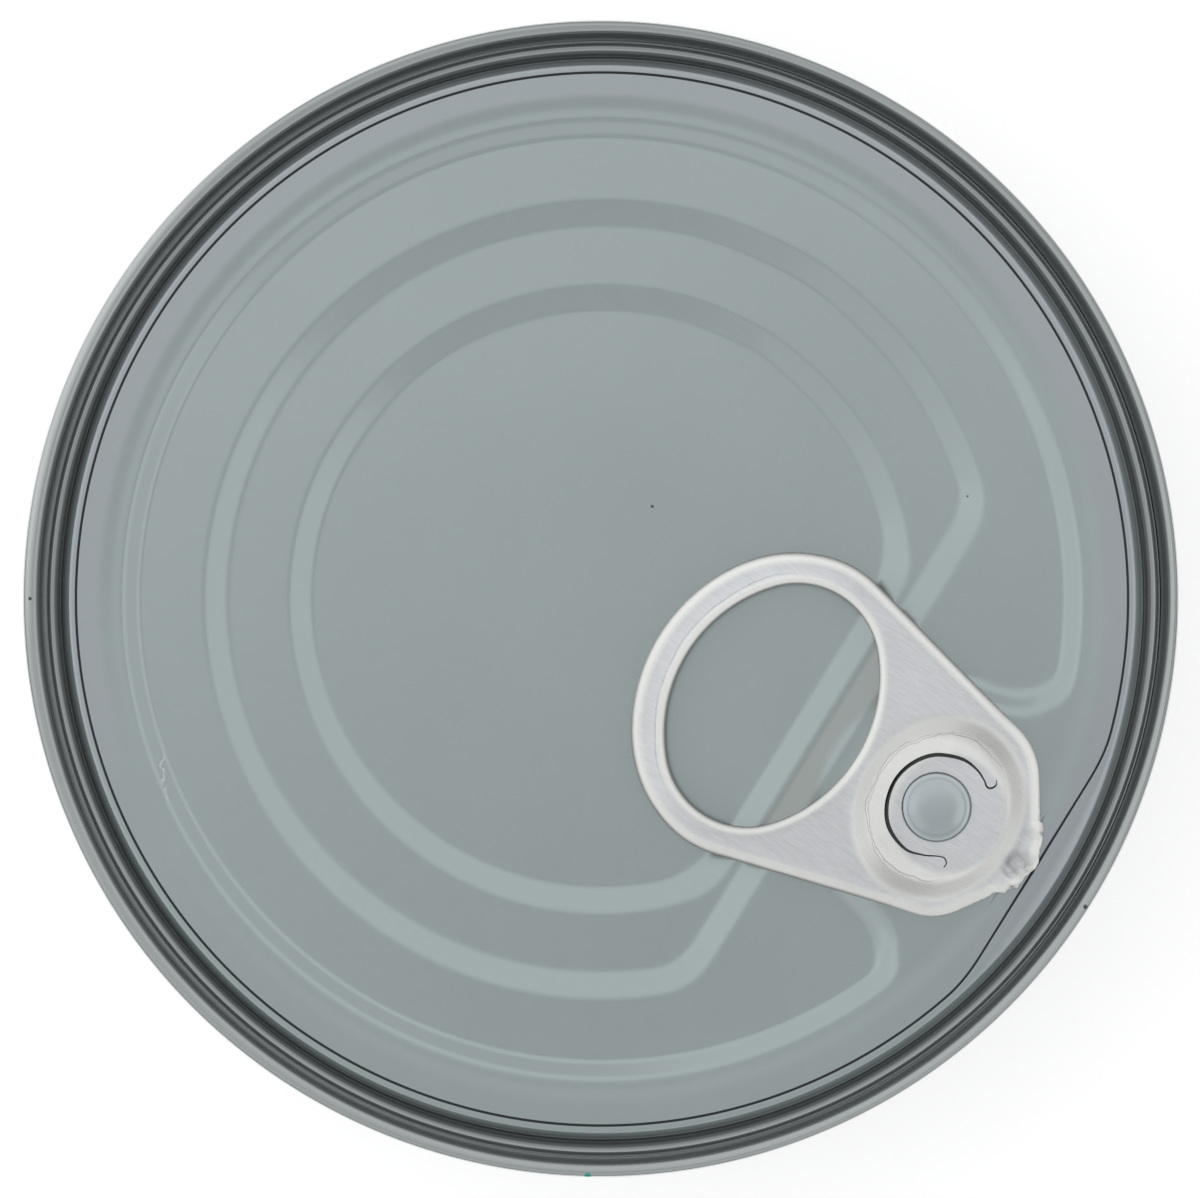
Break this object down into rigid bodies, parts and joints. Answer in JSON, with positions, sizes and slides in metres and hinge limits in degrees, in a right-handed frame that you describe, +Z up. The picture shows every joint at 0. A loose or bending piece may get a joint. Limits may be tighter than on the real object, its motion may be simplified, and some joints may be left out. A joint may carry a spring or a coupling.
{
  "type": "tuna can",
  "caption": "Shallow round metal food can, shut, with an easy-open lid: double seam rim, stepped panel, score line, rivet and ring pull with a finger hole.",
  "frame": {"origin": "centre of the base, on the plane the can stands on", "axes": "+Z up through the lid, +X from the can's centre along the ring pull toward its nose, +Y across the ring pull"},
  "size_m": [0.0873, 0.0872, 0.038],
  "materials": {
    "can_body": "clear-lacquered drawn steel, plain silver grey, soft gloss",
    "lid": "grey lacquer over pressed steel, satin with soft reflections",
    "ring_pull": "bare bright aluminium, finely brushed flats and smooth rolled edges"
  },
  "bodies": {
    "root": {"can_body": "can_body", "lid": "lid", "ring_pull": "ring_pull"}
  },
  "joints": []
}
